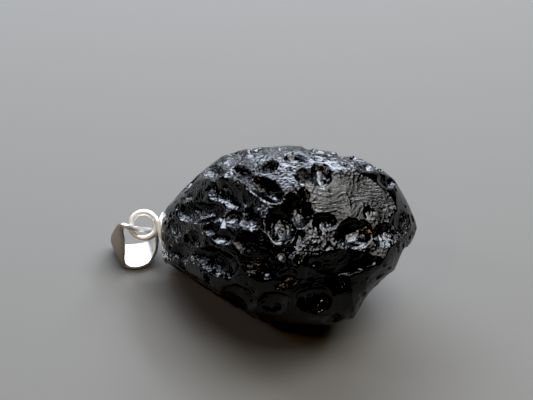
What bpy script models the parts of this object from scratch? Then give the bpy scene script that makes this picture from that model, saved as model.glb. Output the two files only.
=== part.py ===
"""A tektite pendant: a pitted stone of natural glass, a silver end cap with its ring, and a loose bail.

The tables are in millimetres and the objects in metres. +X runs from the silver end to the stone's tip,
-Y is the side that shows, +Z is up, and the origin is on the small flat spot that the stone rests on.
"""

import math

import bmesh
import bpy
import numpy as np
from mathutils import Vector, noise

MM = 0.001

# The seen side is laid out as it shows from one eye point. Its places are millimetres across and up in the
# plane through the stone's middle that faces that point, and its depths are millimetres behind that plane.
EYE_ELEVATION = math.radians(40.0)
EYE_DISTANCE = 125.0
EYE_ACROSS = -2.8
EYE_UP = 4.3
STONE_MIDDLE = np.array([-0.5, 0.0, 9.95])
RIGHT = np.array([1.0, 0.0, 0.0])
UP = np.array([0.0, math.sin(EYE_ELEVATION), math.cos(EYE_ELEVATION)])
AWAY = np.array([0.0, math.cos(EYE_ELEVATION), -math.sin(EYE_ELEVATION)])
EYE = STONE_MIDDLE + EYE_ACROSS * RIGHT + EYE_UP * UP - EYE_DISTANCE * AWAY

# The stone's outline from the cut end to the tip: place across, upper edge and lower edge.
STONE_OUTLINE = (
    (-15.0, 3.1, -3.7),
    (-14.6, 3.7, -4.4),
    (-13.8, 4.4, -5.2),
    (-12.6, 5.7, -6.2),
    (-11.2, 7.2, -7.4),
    (-10.0, 8.3, -8.2),
    (-8.2, 9.6, -8.9),
    (-6.0, 10.3, -9.7),
    (-3.5, 10.7, -10.1),
    (-0.6, 10.8, -10.8),
    (1.5, 10.7, -11.0),
    (3.6, 10.4, -10.9),
    (5.6, 10.3, -10.4),
    (7.3, 10.0, -9.8),
    (9.0, 9.1, -8.3),
    (10.8, 8.0, -6.4),
    (12.2, 6.8, -4.7),
    (13.3, 5.1, -3.4),
    (14.3, 3.5, -2.1),
    (15.0, 2.2, -0.9),
    (15.3, 1.3, 0.2),
)
END_SETBACK = 8.0
SETBACK_START = 1.5
WIDTH_OVER_HEIGHT = 1.13
LUMP_HEIGHT = 0.35
LUMP_SIZE = 7.0

# Broad flats: a point on each in the seen plane, with its depth, and the way that it faces (x, y, z).
STONE_FLATS = (
    ("lower left undercut", (-11.2, -5.1, -0.6), (-0.55, -0.64, -0.51)),
    ("upper right slope", (8.6, 5.2, -6.0), (0.34, -0.52, 0.78)),
    ("lower right", (11.3, -4.2, 0.5), (0.80, -0.30, -0.52)),
    ("upper left", (-11.0, 7.0, 0.5), (-0.72, 0.05, 0.69)),
)

# Scoops on the seen side: across, up, half width, half height, turn in degrees, depth.
SEEN_SCOOPS = (
    (-11.3, 2.9, 2.4, 1.5, 15, 1.00),
    (-7.6, 5.3, 3.3, 1.6, -12, 1.25),
    (-3.2, 5.6, 2.5, 1.3, -28, 1.10),
    (0.7, 2.9, 1.8, 2.6, 25, 1.20),
    (-1.1, 1.2, 2.1, 2.3, 10, 1.45),
    (-4.8, 1.8, 1.2, 1.1, 0, 0.60),
    (-7.3, 2.3, 1.3, 1.2, 0, 0.55),
    (-9.5, 0.9, 1.0, 0.9, 0, 0.50),
    (-7.9, -0.1, 1.4, 1.1, -10, 0.60),
    (-5.3, -0.8, 1.7, 1.5, -20, 0.90),
    (-3.5, -3.4, 2.3, 1.9, -10, 0.90),
    (-0.6, -1.8, 1.4, 1.2, 0, 0.60),
    (-0.2, -4.9, 1.3, 1.1, 0, 0.60),
    (-8.9, -3.1, 3.1, 1.5, -28, 1.00),
    (-13.6, 1.0, 1.1, 1.1, 0, 0.40),
    (-13.0, -1.8, 1.5, 1.1, -20, 0.50),
    (-11.6, -0.4, 1.2, 1.0, 0, 0.45),
    (4.1, 1.6, 1.6, 0.9, 0, 0.40),
    (7.8, 0.3, 2.4, 1.6, 5, 0.90),
    (11.6, 0.0, 1.5, 1.3, 0, 0.60),
    (3.8, 7.4, 1.6, 1.4, -10, 0.90),
    (1.6, 7.0, 1.2, 0.9, -10, 0.70),
    (11.6, 6.5, 1.0, 0.8, -30, 0.40),
    (-7.1, 9.3, 1.9, 0.9, 25, 0.60),
    (-9.0, 7.8, 1.4, 0.9, 30, 0.50),
    (3.6, -3.4, 3.0, 2.7, 0, 1.00),
    (7.4, -4.6, 2.5, 1.8, 15, 0.80),
    (-6.3, -7.4, 2.4, 1.3, -20, 0.70),
    (-2.0, -8.0, 2.2, 1.3, 0, 0.70),
    (2.6, -8.1, 2.5, 1.4, 0, 0.80),
    (10.2, -2.6, 1.9, 1.5, 30, 0.70),
    (13.3, 1.5, 1.3, 1.6, 0, 0.45),
    (-5.6, 7.6, 1.3, 0.8, -20, 0.45),
    (-2.6, 8.4, 1.4, 0.8, 10, 0.45),
    (0.6, 9.3, 1.4, 0.7, -10, 0.40),
)
SEEN_REACH = 2.2

# Scoops that cover what the seen scoops leave, set out at random from one seed.
SCATTER_SEED = 47
SCATTER_TRIES = 900
SCATTER_HALF_WIDTH = (1.2, 2.7)
SCATTER_SLENDERNESS = (0.62, 1.0)
SCATTER_DEPTH_OVER_WIDTH = 0.38
SCATTER_SPACING = 0.85
CALM_ZONE = (9.2, 4.4, 6.5, 3.6)

# The underside is flat round this place (x, y), and from the edge of the flat spot it curves up like a bowl.
REST_MIDDLE = (-1.0, 1.1)
REST_RADIUS = 3.8
REST_BLEND = 2.6
REST_SLOPE_RUN = 110.0

# Scoop edges wander, so no two are the same oval.
WANDER = ((3.2, 0.38), (1.1, 0.12))

STONE_STATIONS = 54
STONE_SPOKES = 76

# The end cap is a low cone on the cut end, and its ring stands in the plane that faces the eye point.
CAP_PLACE = (-15.4, 0.85)
CAP_RADIUS = 2.1
CAP_RIM = 0.25
CAP_HEIGHT = 0.75
CAP_TOP_RADIUS = 0.75
CAP_GAP = 0.12
CAP_SIDES = 40
RING_OUTER_DIAMETER = 4.1
WIRE_DIAMETER = 0.7
RING_SEGMENTS = 48
WIRE_SIDES = 12
RING_SINK = 0.25
RING_ABOVE_CAP = 0.45

# The bail is a closed loop of sheet: x, y and z of its middle line, the width of the sheet there, and how far
# that width is tipped down at its back, in degrees. It goes from the fold along the leaf, which lies on the
# surface, to the tips, and back through the ring by the narrow strap.
SHEET_THICKNESS = 0.45
BAIL_LINE = (
    (-22.45, 6.50, 2.60, 4.4, 5),
    (-22.65, 6.65, 0.95, 4.6, 0),
    (-22.05, 6.65, 0.30, 4.7, 0),
    (-20.80, 6.60, 0.25, 4.7, 0),
    (-19.40, 7.00, 0.30, 4.0, 0),
    (-18.30, 7.60, 0.90, 2.8, 5),
    (-17.85, 8.00, 2.00, 1.8, 15),
    (-17.75, 7.95, 3.10, 1.1, 28),
    (-18.20, 7.60, 3.85, 0.95, 35),
    (-18.85, 7.00, 4.55, 0.95, 38),
    (-19.50, 6.20, 5.35, 1.0, 38),
    (-20.60, 5.35, 6.40, 1.2, 38),
    (-21.50, 5.45, 6.70, 1.7, 34),
    (-21.90, 5.65, 5.85, 2.4, 26),
    (-22.10, 6.10, 4.40, 3.5, 14),
)
BAIL_STEPS = 4
BAIL_CROWN = 0.15
BAIL_YAW = math.radians(25.0)


def from_view(across, up, depth):
    """The point in space that shows at across, up, a given depth behind the stone's middle plane."""
    on_plane = STONE_MIDDLE + across * RIGHT + up * UP
    return EYE + (on_plane - EYE) * (EYE_DISTANCE + depth) / EYE_DISTANCE


def to_view(points):
    """Where points show: across, up and depth, as three arrays."""
    reach = points - EYE
    distance = reach @ AWAY
    shrink = EYE_DISTANCE / distance
    across = EYE_ACROSS + (reach @ RIGHT) * shrink
    up = EYE_UP + (reach @ UP) * shrink
    return across, up, distance - EYE_DISTANCE


def wander(points):
    """Points moved a little by smooth noise, so that an oval drawn on them has an uneven edge."""
    moved = points.copy()
    for size, amount in WANDER:
        for k, point in enumerate(points):
            moved[k] += amount * np.array(noise.noise_vector(Vector(point / size)))
    return moved


def setback(across):
    """How far behind the middle plane the stone's axis lies: it falls away towards the cut end."""
    share = np.clip((SETBACK_START - across) / (SETBACK_START - STONE_OUTLINE[0][0]), 0.0, 1.0)
    return END_SETBACK * share**2


def stone_grid(stations, spokes):
    """The stone before its flats and scoops: a grid of points, station by station from the cut end."""
    outline = np.array(STONE_OUTLINE)
    along = (1.0 - np.cos(np.linspace(0.12, math.pi, stations))) / 2.0
    along = (along - along[0]) / (along[-1] - along[0])
    even = np.linspace(0.0, 1.0, stations)
    share = 0.35 * along + 0.65 * even
    across = outline[0, 0] + share * (outline[-1, 0] - outline[0, 0])
    upper = np.interp(across, outline[:, 0], outline[:, 1])
    lower = np.interp(across, outline[:, 0], outline[:, 2])
    turns = np.linspace(0.0, 2.0 * math.pi, spokes, endpoint=False)
    grid = np.zeros((stations, spokes, 3))
    stretch = math.hypot(WIDTH_OVER_HEIGHT * UP[1], UP[2])
    for i in range(stations):
        depth = setback(across[i])
        centre = from_view(across[i], (upper[i] + lower[i]) / 2.0, depth)
        half = (upper[i] - lower[i]) / 2.0 * (EYE_DISTANCE + depth) / EYE_DISTANCE / stretch
        grid[i, :, 0] = centre[0]
        grid[i, :, 1] = centre[1] + WIDTH_OVER_HEIGHT * half * np.cos(turns)
        grid[i, :, 2] = centre[2] + half * np.sin(turns)
    return grid


def grid_normals(grid):
    """Outward unit normals of a closed grid, from the differences between neighbours."""
    along = np.gradient(grid, axis=0)
    around = np.roll(grid, -1, axis=1) - np.roll(grid, 1, axis=1)
    normals = np.cross(around, along)
    length = np.linalg.norm(normals, axis=2, keepdims=True)
    return normals / np.maximum(length, 1e-9)


def press_flats(points):
    """Points beyond a flat are pressed back on it."""
    pressed = points.copy()
    for _, place, facing in STONE_FLATS:
        facing = np.array(facing) / np.linalg.norm(facing)
        beyond = np.maximum((pressed - from_view(*place)) @ facing, 0.0)
        pressed -= beyond[:, None] * facing
    return pressed


def scoop_depth(share_squared, depth):
    """Depth of a scoop whose floor is a parabola: full in the middle, nothing from its edge on."""
    return depth * np.clip(1.0 - share_squared, 0.0, None)


def seen_depth(points, wandered):
    """How deep the seen scoops cut at each point."""
    across, up, _ = to_view(wandered)
    _, _, depth = to_view(points)
    cut = np.zeros(len(points))
    showing = depth < setback(across) + SEEN_REACH
    for place_across, place_up, half_width, half_height, turn, deep in SEEN_SCOOPS:
        c, s = math.cos(math.radians(turn)), math.sin(math.radians(turn))
        right = across - place_across
        above = up - place_up
        share = ((right * c + above * s) / half_width) ** 2 + ((above * c - right * s) / half_height) ** 2
        cut = np.maximum(cut, scoop_depth(share, deep) * showing)
    return cut


def in_oval(across, up, oval):
    """Whether places in the seen plane lie in an oval (across, up, half width, half height)."""
    return ((across - oval[0]) / oval[2]) ** 2 + ((up - oval[1]) / oval[3]) ** 2 < 1.0


def scatter_scoops():
    """The random scoops: for each, its middle, its two directions on the surface, half sizes and depth."""
    rng = np.random.default_rng(SCATTER_SEED)
    grid = stone_grid(60, 80)
    normals = grid_normals(grid)
    taken = []
    scoops = []
    for _ in range(SCATTER_TRIES):
        i = rng.integers(2, 57)
        j = rng.integers(0, 80)
        half = rng.uniform(*SCATTER_HALF_WIDTH)
        slender = rng.uniform(*SCATTER_SLENDERNESS)
        turn = rng.uniform(0.0, math.pi)
        middle, facing = grid[i, j], normals[i, j]
        radius = np.linalg.norm(middle[1:] - grid[i, :, 1:].mean(axis=0))
        half = min(half, 0.34 * radius + 0.5)
        if any(np.linalg.norm(middle - other) < SCATTER_SPACING * (half + size) for other, size in taken):
            continue
        across, up, _ = (float(value[0]) for value in to_view(middle[None, :]))
        showing = facing @ AWAY < 0.05
        if showing and in_oval(across, up, CALM_ZONE):
            continue
        if showing and any(math.hypot(across - s[0], up - s[1]) < 0.75 * (s[2] + half) for s in SEEN_SCOOPS):
            continue
        taken.append((middle, half))
        along = np.cross(facing, [0.0, 0.0, 1.0]) + 1e-6
        along /= np.linalg.norm(along)
        aside = np.cross(facing, along)
        first = math.cos(turn) * along + math.sin(turn) * aside
        second = math.cos(turn) * aside - math.sin(turn) * along
        scoops.append((middle, facing, first, second, half, half * slender, half * SCATTER_DEPTH_OVER_WIDTH))
    return scoops


def scatter_depth(points, wandered, scoops):
    """How deep the random scoops cut at each point."""
    cut = np.zeros(len(points))
    for middle, facing, first, second, half, half_aside, deep in scoops:
        offset = wandered - middle
        share = ((offset @ first) / half) ** 2 + ((offset @ second) / half_aside) ** 2
        share += ((offset @ facing) / (1.6 * half)) ** 2
        cut = np.maximum(cut, scoop_depth(share, deep))
    return cut


def stone_points(stations, spokes):
    """The stone's surface as a grid of points, with its lumps, flats, scoops and rest spot."""
    grid = stone_grid(stations, spokes)
    normals = grid_normals(grid).reshape(-1, 3)
    points = grid.reshape(-1, 3)
    lumps = np.array([noise.noise(Vector(point / LUMP_SIZE)) for point in points])
    points = press_flats(points + LUMP_HEIGHT * lumps[:, None] * normals)
    wandered = wander(points)
    cut = np.maximum(seen_depth(points, wandered), scatter_depth(points, wandered, scatter_scoops()))
    from_rest = np.hypot(points[:, 0] - REST_MIDDLE[0], points[:, 1] - REST_MIDDLE[1])
    cut *= np.where(points[:, 2] < 3.0, np.clip((from_rest - REST_RADIUS) / 1.5, 0.0, 1.0), 1.0)
    inward = normals.copy()
    inward[:spokes, 0] = 0.0
    points = points - cut[:, None] * inward
    points[:spokes, 0] = grid[0, 0, 0]
    bowl = np.maximum(from_rest - REST_RADIUS, 0.0) ** 2 / REST_SLOPE_RUN
    height = np.maximum(points[:, 2], bowl)
    pressed = np.clip((REST_RADIUS + REST_BLEND - from_rest) / REST_BLEND, 0.0, 1.0) * (height < 3.0)
    points[:, 2] = height - (height - bowl) * pressed
    return points.reshape(stations, spokes, 3)


def make_object(name, mesh, material):
    """A smooth-shaded object with its own material, in the scene."""
    thing = bpy.data.objects.new(name, mesh)
    bpy.context.collection.objects.link(thing)
    mesh.materials.append(material)
    mesh.shade_smooth()
    mesh.set_sharp_from_angle(angle=math.radians(28.0))
    return thing


def make_material(name, colour, roughness, metallic):
    """A Principled material from its base colour, roughness and metallic value."""
    material = bpy.data.materials.new(name)
    material.use_nodes = True
    shader = material.node_tree.nodes["Principled BSDF"]
    shader.inputs["Base Color"].default_value = (*colour, 1.0)
    shader.inputs["Roughness"].default_value = roughness
    shader.inputs["Metallic"].default_value = metallic
    return material


def mesh_from(name, points, faces, origin=(0.0, 0.0, 0.0)):
    """A mesh in metres from points in millimetres, counted from an origin, with its faces turned outwards."""
    mesh = bpy.data.meshes.new(name)
    mesh.from_pydata([tuple((point - np.array(origin)) * MM) for point in points], [], faces)
    shape = bmesh.new()
    shape.from_mesh(mesh)
    bmesh.ops.recalc_face_normals(shape, faces=shape.faces)
    shape.to_mesh(mesh)
    shape.free()
    return mesh


def build_stone(material):
    """The stone: its grid closed by a flat fan at the cut end and a point at the tip."""
    grid = stone_points(STONE_STATIONS, STONE_SPOKES)
    points = list(grid.reshape(-1, 3))
    points.append(grid[0].mean(axis=0))
    points.append(grid[-1].mean(axis=0) + [0.2, 0.0, 0.0])
    cut_middle, tip = len(points) - 2, len(points) - 1
    faces = []
    for j in range(STONE_SPOKES):
        after = (j + 1) % STONE_SPOKES
        faces.append((cut_middle, j, after))
        last = (STONE_STATIONS - 1) * STONE_SPOKES
        faces.append((tip, last + after, last + j))
        for i in range(STONE_STATIONS - 1):
            a, b = i * STONE_SPOKES, (i + 1) * STONE_SPOKES
            faces.append((a + j, b + j, b + after))
            faces.append((a + j, b + after, a + after))
    return make_object("tektite_stone", mesh_from("tektite_stone", points, faces), material)


def cap_middle():
    """The middle of the cap's base, just clear of the cut end."""
    place = from_view(*CAP_PLACE, END_SETBACK)
    place[0] = from_view(STONE_OUTLINE[0][0], 0.0, END_SETBACK)[0] - CAP_GAP
    return place


def ring_middle():
    """The middle of the ring, whose wire is sunk a little into the top of the cap."""
    reach = CAP_HEIGHT - RING_SINK + RING_OUTER_DIAMETER / 2.0
    return cap_middle() - reach * RIGHT + RING_ABOVE_CAP * UP


def bail_pivot():
    """The middle of the ring's wire where the bail swings round it: the ring's end away from the cap."""
    return ring_middle() - (RING_OUTER_DIAMETER - WIRE_DIAMETER) / 2.0 * RIGHT


def cap_mesh():
    """The cap: a disc edge, then a low cone to its small flat top, about the X axis."""
    base = cap_middle()
    rings = ((0.0, CAP_RADIUS), (CAP_RIM, CAP_RADIUS), (CAP_HEIGHT, CAP_TOP_RADIUS))
    points = []
    for height, radius in rings:
        for j in range(CAP_SIDES):
            turn = 2.0 * math.pi * j / CAP_SIDES
            points.append(base + [-height, radius * math.cos(turn), radius * math.sin(turn)])
    faces = [tuple(range(CAP_SIDES)), tuple(2 * CAP_SIDES + j for j in reversed(range(CAP_SIDES)))]
    for i in range(len(rings) - 1):
        for j in range(CAP_SIDES):
            after = (j + 1) % CAP_SIDES
            a, b = i * CAP_SIDES, (i + 1) * CAP_SIDES
            faces.append((a + j, b + j, b + after, a + after))
    return mesh_from("end_cap", points, faces)


def ring_mesh():
    """The ring: round wire bent to a closed circle in the plane of RIGHT and UP."""
    middle = ring_middle()
    circle = (RING_OUTER_DIAMETER - WIRE_DIAMETER) / 2.0
    points = []
    for i in range(RING_SEGMENTS):
        turn = 2.0 * math.pi * i / RING_SEGMENTS
        out = math.cos(turn) * RIGHT + math.sin(turn) * UP
        for j in range(WIRE_SIDES):
            roll = 2.0 * math.pi * j / WIRE_SIDES
            points.append(middle + circle * out + WIRE_DIAMETER / 2.0 * (math.cos(roll) * out + math.sin(roll) * AWAY))
    faces = []
    for i in range(RING_SEGMENTS):
        a, b = i * WIRE_SIDES, (i + 1) % RING_SEGMENTS * WIRE_SIDES
        for j in range(WIRE_SIDES):
            after = (j + 1) % WIRE_SIDES
            faces.append((a + j, b + j, b + after, a + after))
    return mesh_from("ring", points, faces)


def build_end_cap(material):
    """The end cap with its ring, joined in one solid as the solder joins them."""
    cap = make_object("end_cap", cap_mesh(), material)
    ring = make_object("ring", ring_mesh(), material)
    ring.hide_render = True
    ring.display_type = "WIRE"
    join = cap.modifiers.new("solder", "BOOLEAN")
    join.operation = "UNION"
    join.solver = "EXACT"
    join.object = ring
    bpy.context.view_layer.update()
    joined = bpy.data.meshes.new_from_object(cap.evaluated_get(bpy.context.evaluated_depsgraph_get()))
    cap.modifiers.clear()
    cap.data = joined
    bpy.data.objects.remove(ring)
    joined.shade_smooth()
    joined.set_sharp_from_angle(angle=math.radians(28.0))
    return cap


def smooth_loop(places, steps):
    """A closed curve through places (Catmull-Rom), with a number of steps between each two."""
    places = np.array(places)
    count = len(places)
    curve = []
    for k in range(count):
        before, here, after, beyond = (places[(k + n) % count] for n in (-1, 0, 1, 2))
        for step in range(steps):
            t = step / steps
            curve.append(
                0.5
                * (
                    2.0 * here
                    + (after - before) * t
                    + (2.0 * before - 5.0 * here + 4.0 * after - beyond) * t**2
                    + (3.0 * here - before - 3.0 * after + beyond) * t**3
                )
            )
    return np.array(curve)


def build_bail(material):
    """The bail: sheet of changing width bent round its closed middle line, lying on the surface."""
    curve = smooth_loop(BAIL_LINE, BAIL_STEPS)
    line, widths, tips = curve[:, :3], curve[:, 3], np.radians(curve[:, 4])
    ahead = np.roll(line, -1, axis=0) - np.roll(line, 1, axis=0)
    level = np.array([math.sin(BAIL_YAW), -math.cos(BAIL_YAW), 0.0])
    across = np.cos(tips)[:, None] * level + np.sin(tips)[:, None] * np.array([0.0, 0.0, 1.0])
    outward = np.cross(ahead, across)
    outward /= np.linalg.norm(outward, axis=1, keepdims=True)
    points = []
    for place, out, side_way, width in zip(line, outward, across, widths):
        for side, skin in ((-0.5, 0.5), (0.0, 0.5), (0.5, 0.5), (0.5, -0.5), (0.0, -0.5), (-0.5, -0.5)):
            crown = BAIL_CROWN * width / widths.max() * (1.0 - 4.0 * side**2)
            points.append(place + out * (SHEET_THICKNESS * skin + crown) + side * width * side_way)
    points = np.array(points)
    points[:, 2] -= points[:, 2].min()
    corners = 6
    faces = []
    count = len(line)
    for i in range(count):
        a, b = i * corners, (i + 1) % count * corners
        for j in range(corners):
            after = (j + 1) % corners
            faces.append((a + j, b + j, b + after, a + after))
    pivot = bail_pivot()
    bail = make_object("bail", mesh_from("bail", points, faces, origin=pivot), material)
    bail.location = Vector(pivot * MM)
    return bail


def main():
    """Clear the scene and build the pendant's three pieces."""
    for thing in list(bpy.data.objects):
        bpy.data.objects.remove(thing)
    glass = make_material("tektite_glass", (0.012, 0.011, 0.010), 0.18, 0.0)
    silver = make_material("silver_cap", (0.86, 0.85, 0.83), 0.16, 1.0)
    sheet = make_material("silver_sheet", (0.88, 0.87, 0.85), 0.12, 1.0)
    build_stone(glass)
    build_end_cap(silver)
    build_bail(sheet)


main()
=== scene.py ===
"""Finished look of the tektite pendant: a scooped and pitted glass stone with satin silver fittings.

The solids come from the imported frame. This script lays a fine surface in place of each one, in the same
places and sizes, gives it its finish, and sets the floor, the light and the camera. Places in the tables are
millimetres; objects are in metres, with +X from the silver end to the stone's tip and -Y the side that shows.
Two broad hollows, the depths of some scoops and all the small pits are here and not in the solid.
"""

import logging
import math
from dataclasses import dataclass, field
from enum import Enum

import bmesh
import bpy
import numpy as np
from bpy.types import Material, Mesh, NodeTree, Object
from mathutils import Matrix, Vector, noise

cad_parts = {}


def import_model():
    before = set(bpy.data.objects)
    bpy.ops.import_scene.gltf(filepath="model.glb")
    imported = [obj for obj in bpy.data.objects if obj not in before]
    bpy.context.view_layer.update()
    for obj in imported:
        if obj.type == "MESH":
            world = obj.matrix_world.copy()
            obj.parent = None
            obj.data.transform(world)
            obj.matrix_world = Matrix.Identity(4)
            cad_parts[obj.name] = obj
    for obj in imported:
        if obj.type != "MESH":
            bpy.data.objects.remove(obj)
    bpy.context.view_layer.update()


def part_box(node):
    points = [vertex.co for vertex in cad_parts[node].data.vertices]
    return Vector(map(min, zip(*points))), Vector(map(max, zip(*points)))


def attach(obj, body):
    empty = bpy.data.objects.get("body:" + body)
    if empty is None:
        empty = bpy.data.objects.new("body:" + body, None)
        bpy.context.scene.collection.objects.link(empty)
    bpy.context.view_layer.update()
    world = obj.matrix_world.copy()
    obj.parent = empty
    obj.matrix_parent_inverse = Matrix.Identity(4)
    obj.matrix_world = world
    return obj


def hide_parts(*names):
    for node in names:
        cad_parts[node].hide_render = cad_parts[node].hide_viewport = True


LOG = logging.getLogger("pendant")
MM = 0.001
Array = np.ndarray
Pair = tuple[float, float]
Place = tuple[float, float, float]
Oval = tuple[float, float, float, float]
Colour = tuple[float, float, float, float]
# Edges sharper than this stay sharp.
CREASE_ANGLE = math.radians(50.0)


class Node(Enum):
    """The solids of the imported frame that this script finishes."""

    STONE = "tektite_stone"
    END_CAP = "end_cap"
    BAIL = "bail"


class Body(Enum):
    """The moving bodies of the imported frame."""

    PENDANT = "pendant"
    BAIL = "bail"


class Slot(Enum):
    """The record's material slots."""

    GLASS = "tektite_glass"
    CAP = "silver_cap"
    SHEET = "silver_sheet"


@dataclass(frozen=True)
class SeenPlane:
    """The plane through the stone's middle that faces the eye point, where seen places are counted.

    Args:
        elevation: the eye's height above the horizon as an angle, in radians.
        distance: from the eye to the plane.
        across, up: where the eye's axis meets the plane, from the stone's middle.
        middle: the stone's middle in space.
    """

    elevation: float = math.radians(40.0)
    distance: float = 125.0
    across: float = -2.8
    up: float = 4.3
    middle: Place = (-0.5, 0.0, 9.95)

    @property
    def right_way(self) -> Array:
        """Unit vector to the right as seen."""
        return np.array([1.0, 0.0, 0.0])

    @property
    def up_way(self) -> Array:
        """Unit vector upwards as seen."""
        return np.array([0.0, math.sin(self.elevation), math.cos(self.elevation)])

    @property
    def away(self) -> Array:
        """Unit vector along the line of sight."""
        return np.array([0.0, math.cos(self.elevation), -math.sin(self.elevation)])

    @property
    def eye(self) -> Array:
        """The eye point in space."""
        aim = np.array(self.middle) + self.across * self.right_way + self.up * self.up_way
        return aim - self.distance * self.away

    def place(self, across: float, up: float, depth: float) -> Array:
        """The point that shows at across, up, at a depth behind the plane."""
        on_plane = np.array(self.middle) + across * self.right_way + up * self.up_way
        return self.eye + (on_plane - self.eye) * (self.distance + depth) / self.distance

    def seen(self, points: Array) -> tuple[Array, Array, Array]:
        """Where points show: across, up and depth, one array each."""
        reach = points - self.eye
        distance = reach @ self.away
        shrink = self.distance / distance
        across = self.across + (reach @ self.right_way) * shrink
        up = self.up + (reach @ self.up_way) * shrink
        return across, up, distance - self.distance


SEEN = SeenPlane()


@dataclass(frozen=True)
class SeenScoop:
    """A scoop on the side that shows: its place, half sizes, turn in degrees and depth, all as seen."""

    across: float
    up: float
    half_width: float
    half_height: float
    turn: float
    depth: float

    def share(self, across: Array, up: Array) -> Array:
        """Squared distance from the middle, counted so that it is 1 on the scoop's edge."""
        c, s = math.cos(math.radians(self.turn)), math.sin(math.radians(self.turn))
        right, above = across - self.across, up - self.up
        return ((right * c + above * s) / self.half_width) ** 2 + ((above * c - right * s) / self.half_height) ** 2


@dataclass(frozen=True)
class SurfaceScoop:
    """A scoop anywhere on the stone: its middle, outward way, its two ways on the surface and its sizes."""

    middle: Array
    facing: Array
    first: Array
    second: Array
    half: float
    half_aside: float
    depth: float

    def share(self, points: Array) -> Array:
        """Squared distance from the middle, counted so that it is 1 on the scoop's edge."""
        offset = points - self.middle
        flat = ((offset @ self.first) / self.half) ** 2 + ((offset @ self.second) / self.half_aside) ** 2
        return flat + ((offset @ self.facing) / (1.6 * self.half)) ** 2


# The stone's outline from the cut end to the tip: place across, upper edge and lower edge.
STONE_OUTLINE = (
    (-15.0, 3.1, -3.7),
    (-14.6, 3.7, -4.4),
    (-13.8, 4.4, -5.2),
    (-12.6, 5.7, -6.2),
    (-11.2, 7.2, -7.4),
    (-10.0, 8.3, -8.2),
    (-8.2, 9.6, -8.9),
    (-6.0, 10.3, -9.7),
    (-3.5, 10.7, -10.1),
    (-0.6, 10.8, -10.8),
    (1.5, 10.7, -11.0),
    (3.6, 10.4, -10.9),
    (5.6, 10.3, -10.4),
    (7.3, 10.0, -9.8),
    (9.0, 9.1, -8.3),
    (10.8, 8.0, -6.4),
    (12.2, 6.8, -4.7),
    (13.3, 5.1, -3.4),
    (14.3, 3.5, -2.1),
    (15.0, 2.2, -0.9),
    (15.3, 1.3, 0.2),
)

# Broad flats: a point on each in the seen plane, with its depth, and the way that it faces (x, y, z).
STONE_FLATS = (
    ("lower left undercut", (-11.2, -5.1, -0.6), (-0.55, -0.64, -0.51)),
    ("upper right slope", (8.6, 5.2, -6.0), (0.34, -0.52, 0.78)),
    ("lower right", (11.3, -4.2, 0.5), (0.80, -0.30, -0.52)),
    ("upper left", (-11.0, 7.0, 0.5), (-0.72, 0.05, 0.69)),
)

# Scoops on the side that shows, in the solid's places and sizes. Ten have depths of their own, from the photo:
# the long one at the upper left and three low on the right are shallower, and six near the upper edge deeper.
SEEN_SCOOPS = (
    SeenScoop(-11.3, 2.9, 2.4, 1.5, 15, 1.00),
    SeenScoop(-7.6, 5.3, 3.3, 1.6, -12, 0.35),
    SeenScoop(-3.2, 5.6, 2.5, 1.3, -28, 1.10),
    SeenScoop(0.7, 2.9, 1.8, 2.6, 25, 1.20),
    SeenScoop(-1.1, 1.2, 2.1, 2.3, 10, 1.45),
    SeenScoop(-4.8, 1.8, 1.2, 1.1, 0, 0.60),
    SeenScoop(-7.3, 2.3, 1.3, 1.2, 0, 0.55),
    SeenScoop(-9.5, 0.9, 1.0, 0.9, 0, 0.50),
    SeenScoop(-7.9, -0.1, 1.4, 1.1, -10, 0.60),
    SeenScoop(-5.3, -0.8, 1.7, 1.5, -20, 0.90),
    SeenScoop(-3.5, -3.4, 2.3, 1.9, -10, 0.90),
    SeenScoop(-0.6, -1.8, 1.4, 1.2, 0, 0.60),
    SeenScoop(-0.2, -4.9, 1.3, 1.1, 0, 0.60),
    SeenScoop(-8.9, -3.1, 3.1, 1.5, -28, 1.00),
    SeenScoop(-13.6, 1.0, 1.1, 1.1, 0, 0.40),
    SeenScoop(-13.0, -1.8, 1.5, 1.1, -20, 0.50),
    SeenScoop(-11.6, -0.4, 1.2, 1.0, 0, 0.45),
    SeenScoop(4.1, 1.6, 1.6, 0.9, 0, 0.40),
    SeenScoop(7.8, 0.3, 2.4, 1.6, 5, 0.90),
    SeenScoop(11.6, 0.0, 1.5, 1.3, 0, 0.60),
    SeenScoop(3.8, 7.4, 1.6, 1.4, -10, 0.90),
    SeenScoop(1.6, 7.0, 1.2, 0.9, -10, 0.85),
    SeenScoop(11.6, 6.5, 1.0, 0.8, -30, 0.40),
    SeenScoop(-7.1, 9.3, 1.9, 0.9, 25, 0.85),
    SeenScoop(-9.0, 7.8, 1.4, 0.9, 30, 0.80),
    SeenScoop(3.6, -3.4, 3.0, 2.7, 0, 0.10),
    SeenScoop(7.4, -4.6, 2.5, 1.8, 15, 0.05),
    SeenScoop(-6.3, -7.4, 2.4, 1.3, -20, 0.70),
    SeenScoop(-2.0, -8.0, 2.2, 1.3, 0, 0.70),
    SeenScoop(2.6, -8.1, 2.5, 1.4, 0, 0.80),
    SeenScoop(10.2, -2.6, 1.9, 1.5, 30, 0.05),
    SeenScoop(13.3, 1.5, 1.3, 1.6, 0, 0.45),
    SeenScoop(-5.6, 7.6, 1.3, 0.8, -20, 0.80),
    SeenScoop(-2.6, 8.4, 1.4, 0.8, 10, 0.80),
    SeenScoop(0.6, 9.3, 1.4, 0.7, -10, 0.65),
)

# Small nicks along the upper edge, too fine for the solid.
EDGE_NICKS = (
    SeenScoop(-4.0, 10.7, 1.1, 0.6, 0, 0.50),
    SeenScoop(2.2, 10.7, 0.9, 0.5, 10, 0.45),
    SeenScoop(-8.3, 9.7, 0.9, 0.6, 30, 0.50),
    SeenScoop(6.4, 9.7, 1.1, 0.6, -15, 0.50),
    SeenScoop(9.3, 8.3, 0.9, 0.6, -40, 0.45),
)

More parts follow.
